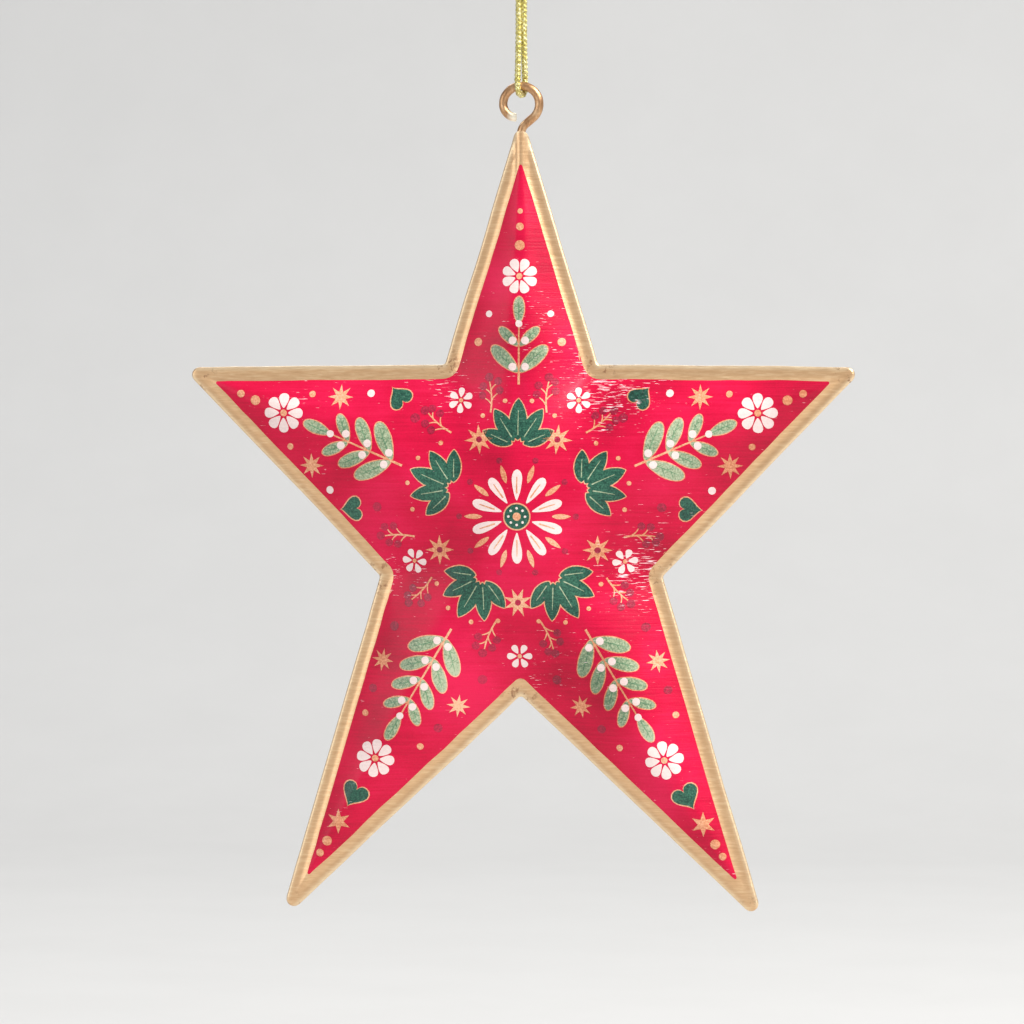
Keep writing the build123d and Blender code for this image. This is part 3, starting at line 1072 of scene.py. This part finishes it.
def layBerryTwig(spot, length, way):
    # a gold twig with dark berries at its tips
    stroke("peach", 2, spot, ((0, 0), (length * 0.5, way * 0.10 * length), (length, 0)), 0.34, 0.22, 8)
    for share, side in ((0.25, 1), (0.40, -1), (0.58, 1), (0.74, -1)):
        reach = length * 0.30 * (1.1 - share * 0.5)
        u, v = length * share, way * 0.05 * length
        tip = u + reach * 0.75, v + side * reach * 0.75
        stroke("peach", 2, spot, ((u, v), (u + reach * 0.5, v + side * reach * 0.3), tip), 0.26, 0.18, 5)
        dot("berry", 3, moved(spot, tip[0] + 0.55, tip[1] + side * 0.45), 0.72)
    dot("berry", 3, moved(spot, length + 0.8, 0), 0.78)


def layArm(arm, spots):
    layPalmette(moved(arm, 12.6, 0), 8.6)
    at, length, pairs, leafLength = spots["spray"]
    laySpray(moved(arm, at, 0), length, pairs, leafLength)
    at, radius = spots["flower"]
    layFlower(moved(arm, at, 0, 22.5), 8, radius)
    for place, bead in enumerate(spots["beads"]):
        dot("peach", 2, moved(arm, bead, 0), 0.9 - 0.2 * place)
    for u, v, size in spots["hearts"]:
        for way in (1, -1) if v else (1,):
            edged("green", moved(arm, u, way * v, way * v * 2.5), heartPoints(size))
    for u, v, size, rays in spots["stars"]:
        for way in (1, -1) if v else (1,):
            disc("peach", 2, moved(arm, u, way * v, 180 / rays), rayPoints(rays, size, size * 0.42))
    for u, v, size, colour in spots["dots"]:
        for way in (1, -1):
            dot(colour, 2, moved(arm, u, way * v), size)


def layDesign():
    layRosette(crownSpot(0, 0))
    corners = starCorners()
    for number, tip in enumerate(corners[0::2]):
        layArm(crownSpot(*tip), armSpots[min(number, 5 - number)])
    for x, z in corners[1::2]:
        gap = crownSpot(x, z)
        disc("peach", 2, moved(gap, 15.6, 0, 22.5), rayPoints(8, 2.7, 1.15))
        dot("berry", 3, moved(gap, 15.6, 0), 0.55, 16)
        for way in (1, -1):
            layBerryTwig(moved(gap, 19.0, way * 4.0, way * 24), 5.6, way)
        layFlower(moved(gap, hypot(x, z + crownDrop) - 7.3, 0, 30), 6, 2.3)


def panelLoop():
    # outline of the red ground, its edge a little uneven
    loop = roundedLoop(insetCorners(design["panelInset"]), *design["panelRounds"])
    for point in loop:
        shift = [noiseAt(point.x / 4, point.y / 4, seed) for seed in (31.0, 41.0)]
        point += Vector(shift) * design["panelWander"]
    return loop


def domeSkin(lift, stations):
    # a thin closed skin of ink over the dome's outside
    heights = [lift] * len(stations) + [-design["inkDepth"]] * len(stations)
    bm = closedSkin(stations + stations[::-1],
                    lambda *spot, number: shapedPoint(*spot, -1, star["hemHalf"], True, heights[number]))
    # the same diagonals in every skin, so that no layer shows through the next
    bmesh.ops.triangulate(bm, faces=bm.faces, quad_method="FIXED")
    return bm


def glintAt(x, z):
    shares = (power * exp(-((x - a) ** 2 + (z - b) ** 2) / size ** 2) for a, b, size, power in glintSpots)
    return min(sum(shares), 1)


def finishInk(piece):
    smoothBelow(35, piece)
    markPlan(piece, "glintShare", glintAt)
    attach(piece, "ornament")


def printInk(name, sheet, colour, lift):
    # flat shapes raised to bars, joined where they touch and cut out of the skin
    made = bmesh.ops.extrude_face_region(sheet, geom=list(sheet.faces))["geom"]
    bmesh.ops.translate(sheet, vec=(0, 11.8, 0), verts=only(BMVert, made))
    placed(sheet, (mm, mm, mm), (0, 0, star["shoulderHeight"] * mm))
    bars = keepMesh("bars", sheet)
    cutWith(bars, boxCutter((-300, -300, -300), (-299, -299, -299)), "UNION", True)
    stations = outerStations(star["hemHalf"], -1)[:-4]
    piece = keepMesh(name, domeSkin(lift, stations), materials[colour])
    cutWith(piece, bars, "INTERSECT")
    finishInk(piece)


def makePrint():
    stations = outerStations(star["hemHalf"], -1)[:-6] + [(panelLoop(), 0)]
    finishInk(keepMesh("redGround", domeSkin(design["groundLift"], stations), materials["red"]))
    layDesign()
    for colour, layer in sorted(sheets):
        name, lift = layers[layer]
        printInk(colour + name, sheets[colour, layer], colour, lift)
        print("printed", colour, name.lower())


makePrint()


# wire eye

eye = {
    "wire": 1.6, "sides": 24, "shank": 15.0, "neckLength": 5.3, "neckBend": 2.2,
    "ringCentre": -44.08, "ringRadius": 3.28, "curl": 2.4, "curlTurn": 88,
    "endInset": 0.12, "endRise": 0.06, "lump": 0.035, "fineLump": 0.016, "endHighlightLength": 1.9,
}


def makeEye():
    # the wire drawn out and bent by turns: shank, neck, slanting run, ring and curl
    ringRadius, neckBend = eye["ringRadius"], eye["neckBend"]
    mouthHeight = eye["ringCentre"] - eye["neckLength"]
    centre = Vector((0, 0, eye["ringCentre"]))
    neckCentre = Vector((neckBend, 0, mouthHeight))
    span = centre - neckCentre
    heading = atan2(span.z, span.x) - asin((ringRadius + neckBend) / span.length)
    left = Vector((-sin(heading), 0, cos(heading)))
    ringStart = centre - left * ringRadius
    ringTurn = (pi - atan2((ringStart - centre).z, (ringStart - centre).x)) % (2 * pi)
    curlCentre = centre + Vector((eye["curl"] - ringRadius, 0, 0))
    curl = radians(eye["curlTurn"])
    bm = bmesh.new()

    def straight(edges, shift, steps):
        for step in range(steps):
            edges = pulled(bm, edges, shift * mm / steps)[0]
        return edges

    def turned(edges, centre, angle, steps):
        # a positive angle turns against the clock as seen from the front
        return spun(bm, edges, centre * mm, (0, 1, 0), -angle, steps)

    ring = bmesh.ops.create_circle(bm, segments=eye["sides"], radius=eye["wire"] / 2 * mm)
    bmesh.ops.translate(bm, vec=Vector((0, 0, mouthHeight - eye["shank"])) * mm, verts=ring["verts"])
    first = ringEdges(ring["verts"])
    edges = straight(first, Vector((0, 0, eye["shank"])), 12)
    edges = turned(edges, neckCentre, heading - pi / 2, 8)
    edges = straight(edges, ringStart - neckCentre - left * neckBend, 4)
    edges = turned(edges, centre, ringTurn, 60)
    edges = turned(edges, curlCentre, curl, 20)
    for end in (first, edges):
        face = bmesh.ops.contextual_create(bm, geom=end)["faces"]
        bmesh.ops.inset_region(bm, faces=face, thickness=eye["endInset"] * mm, depth=eye["endRise"] * mm)
        # both end faces take the bare cut metal, painted bright as a highlight
        for item in face:
            item.material_index = 1
    bmesh.ops.recalc_face_normals(bm, faces=bm.faces)
    for vert in bm.verts:
        # slight flats and lumps left by the pliers
        place = vert.co / mm
        lump = noise.noise(place * 0.55) * eye["lump"]
        lump += noise.noise(place * 1.7 + Vector((4, 0, 0))) * eye["fineLump"]
        vert.co += vert.normal * (lump - 0.012) * clamped((place.z - mouthHeight + 2) / 3) * mm
    piece = keepMesh("wireEye", bm, materials["wire"], materials["cutWireHighlight"])
    smoothBelow(40, piece)
    cutPlace = curlCentre - Vector((cos(curl), 0, sin(curl))) * eye["curl"]
    # painted highlight: the wire is lightened towards cream near the cut end
    markPoints(piece, "endHighlight", lambda place: clamped(eye["endHighlightLength"] - (place - cutPlace).length))
    return piece


wireEye = makeEye()
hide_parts("hanging_eye")
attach(wireEye, "ornament")
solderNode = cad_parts["eye_solder"]
print("wire bent")


# floor, backdrop and lights

studio = {
    "floor": -0.262, "backWall": 1.4, "curve": 0.55, "halfWidth": 3.2, "nearEdge": -2.6, "height": 2.6,
    "middle": (0, 0, -0.12),
}

# place, size, power and colour
lights = {
    "keyLight": ((0.95, -0.95, 0.85), (0.5, 0.5), 16, (1.0, 0.98, 0.95)),
    "fillLight": ((-1.2, -1.1, 0.15), (0.9, 0.9), 5.5, (0.96, 0.98, 1.0)),
    "edgeLight": ((0.8, -0.12, 0.75), (0.5, 0.5), 13, (1.0, 0.99, 0.96)),
    "backLight": ((-0.3, 0.9, 0.8), (0.8, 0.4), 4, (1, 1, 1)),
}


def paperLook(tree):
    grain = noiseOf(tree, 0.02, 4.0, 0.6)
    paper = rampOf(tree, grain, (0.35, (0.610, 0.605, 0.597, 1)), (0.65, (0.622, 0.617, 0.609, 1)))
    return {"Base Color": paper, "Roughness": 0.9}


def makeBackdrop():
    floor, curve = studio["floor"], studio["curve"]
    bend = studio["backWall"] - curve
    bm = bmesh.new()
    ends = [bm.verts.new((side * studio["halfWidth"], studio["nearEdge"], floor)) for side in (-1, 1)]
    edges = pulled(bm, [bm.edges.new(ends)], (0, bend - studio["nearEdge"], 0))[0]
    edges = spun(bm, edges, (0, bend, floor + curve), (1, 0, 0), pi / 2, 24)
    pulled(bm, edges, (0, 0, studio["height"]))
    keepMesh("backdrop", bm, makeMaterial("paper", paperLook))


makeBackdrop()
for name, (place, size, power, colour) in lights.items():
    light = bpy.data.lights.new(name, "AREA")
    light.shape = "RECTANGLE"
    light.size, light.size_y = size
    light.energy = power
    light.color = colour
    aimed(linked(name, light), place, studio["middle"])
scene.world = world = bpy.data.worlds.new("world")
world.use_nodes = True
setInputs(world.node_tree, world.node_tree.nodes["Background"], {"Color": (0.95, 0.97, 1.0, 1), "Strength": 0.55})
print("lights set")

for slot in solderNode.material_slots:
    slot.material = materials["solder"]
